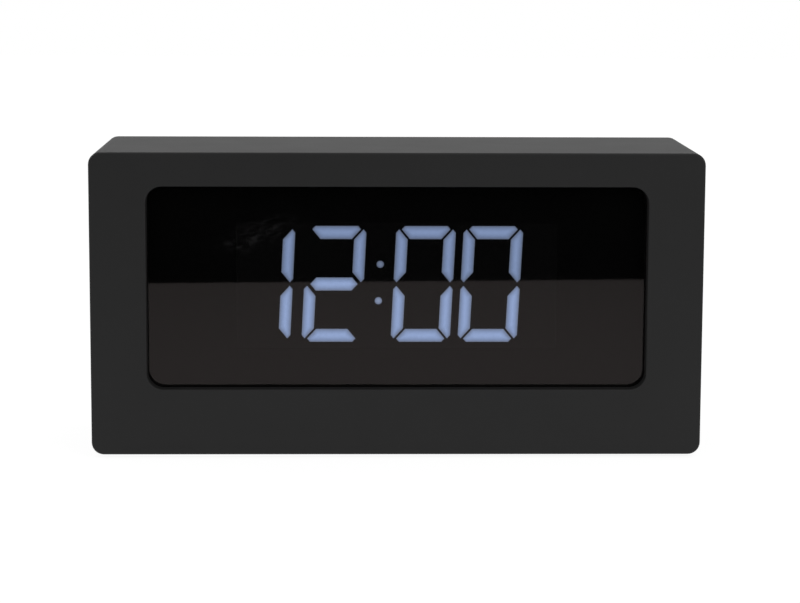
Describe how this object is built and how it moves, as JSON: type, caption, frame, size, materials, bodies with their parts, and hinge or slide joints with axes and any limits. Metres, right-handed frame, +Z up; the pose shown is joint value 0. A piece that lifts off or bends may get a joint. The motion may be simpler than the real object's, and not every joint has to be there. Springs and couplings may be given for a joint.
{
  "type": "digital alarm clock",
  "caption": "Block-shaped digital alarm clock: sunken smoked window, segment display, rear keys, slide switch, battery bay and low-voltage socket.",
  "frame": {"origin": "on the surface that the clock stands on, under the middle of its box", "axes": "+X to the right as the display is read, +Y from the display to the rear, +Z up"},
  "size_m": [0.16, 0.05, 0.0806],
  "materials": {
    "charcoal": "satin charcoal",
    "smoked": "polished smoked acrylic",
    "black": "black moulding",
    "foam": "black foam",
    "white": "white moulding",
    "milky": "milky film",
    "board": "solder mask",
    "nickel": "nickel plate",
    "steel": "zinc plate",
    "rubber": "moulded rubber",
    "cell": "plain sleeve",
    "ribbon": "grey flat cable",
    "red_wire": "red sleeve",
    "black_wire": "black sleeve"
  },
  "bodies": {
    "clock": {"housing": "charcoal", "rear_cover": "charcoal", "display_lens": "smoked", "display_carrier": "black", "segment_mask": "black", "pin_header": "black", "controller_chip": "black", "power_socket": "black", "buzzer": "black", "switch_body_1": "black", "switch_body_2": "black", "switch_body_3": "black", "switch_body_4": "black", "lens_tape": "foam", "lens_gasket": "foam", "light_reflector": "white", "segment_diffuser": "milky", "display_board": "board", "main_board": "board", "key_board": "board", "crystal": "nickel", "capacitor": "nickel", "negative_terminal": "nickel", "positive_terminal": "nickel", "link_contact_left": "nickel", "link_contact_right": "nickel", "slide_switch_body": "nickel", "socket_pin": "nickel", "carrier_screw_1": "steel", "carrier_screw_2": "steel", "carrier_screw_3": "steel", "carrier_screw_4": "steel", "cover_screw_1": "steel", "cover_screw_2": "steel", "cover_screw_3": "steel", "cover_screw_4": "steel", "board_screw_1": "steel", "board_screw_2": "steel", "key_board_screw_1": "steel", "key_board_screw_2": "steel", "foot_1": "rubber", "foot_2": "rubber", "foot_3": "rubber", "foot_4": "rubber", "battery_1": "cell", "battery_2": "cell", "battery_3": "cell", "ribbon_cable": "ribbon", "battery_wire_positive": "red_wire", "battery_wire_negative": "black_wire"},
    "key_1": {"button_1": "charcoal", "switch_plunger_1": "white"},
    "key_2": {"button_2": "charcoal", "switch_plunger_2": "white"},
    "key_3": {"button_3": "charcoal", "switch_plunger_3": "white"},
    "key_4": {"button_4": "charcoal", "switch_plunger_4": "white"},
    "alarm_slide": {"slide_knob": "charcoal"},
    "battery_door": {"battery_door": "charcoal"}
  },
  "joints": [
    {"name": "key_press_1", "type": "slide", "parent": "clock", "child": "key_1", "axis": [0, -1, 0], "range_m": [0, 0.0006], "stiffness_N_per_m": 300},
    {"name": "key_press_2", "type": "slide", "parent": "clock", "child": "key_2", "axis": [0, -1, 0], "range_m": [0, 0.0006], "stiffness_N_per_m": 300},
    {"name": "key_press_3", "type": "slide", "parent": "clock", "child": "key_3", "axis": [0, -1, 0], "range_m": [0, 0.0006], "stiffness_N_per_m": 300},
    {"name": "key_press_4", "type": "slide", "parent": "clock", "child": "key_4", "axis": [0, -1, 0], "range_m": [0, 0.0006], "stiffness_N_per_m": 300},
    {"name": "alarm_switch", "type": "slide", "parent": "clock", "child": "alarm_slide", "axis": [1, 0, 0], "range_m": [0, 0.003]},
    {"name": "battery_door_hinge", "type": "hinge", "parent": "clock", "child": "battery_door", "pos_m": [0, 0.0238, 0.00983], "axis": [-1, 0, 0], "range_deg": [0, 75]}
  ]
}
